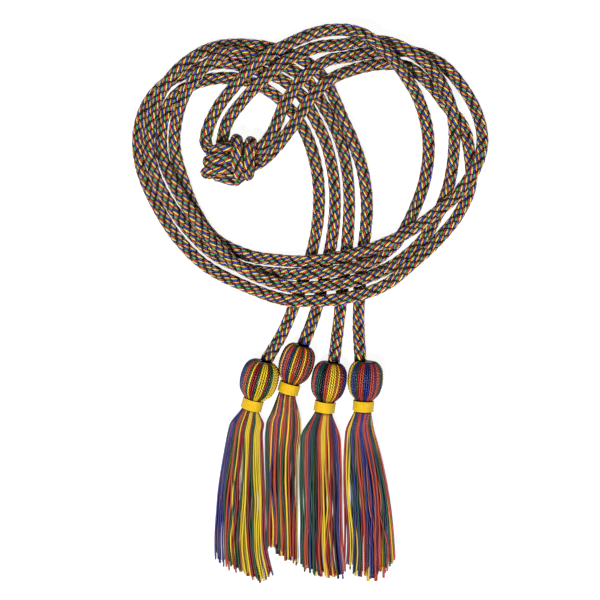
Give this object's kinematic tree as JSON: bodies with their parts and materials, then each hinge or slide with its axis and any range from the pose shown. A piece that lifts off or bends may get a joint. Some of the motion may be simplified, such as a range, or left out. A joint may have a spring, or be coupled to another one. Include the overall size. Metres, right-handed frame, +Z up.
{
  "type": "honor cord",
  "caption": "Braided multicolour honor cord: cords joined by a knot, laid flat in loose coils, each free end finished with a head, a bound neck and a yarn tassel.",
  "frame": {"origin": "on the surface that the cord lies on, below the middle of the whole layout", "axes": "+Z up from the surface, +Y away from the tassels towards the top of the coils, +X to the right as seen from above"},
  "size_m": [0.1777, 0.2746, 0.025],
  "materials": {
    "braid": "glossy rayon braid of multicolour and black strands",
    "yarn": "glossy twisted rayon yarn in stripes of many colours",
    "binding": "golden yellow thread wound closely"
  },
  "bodies": {
    "root": {"joining_knot": "braid", "cord_1": "braid", "cord_2": "braid", "cord_3": "braid", "cord_4": "braid", "tassel_1": "yarn", "tassel_1_band": "binding", "tassel_2": "yarn", "tassel_2_band": "binding", "tassel_3": "yarn", "tassel_3_band": "binding", "tassel_4": "yarn", "tassel_4_band": "binding"}
  },
  "joints": []
}
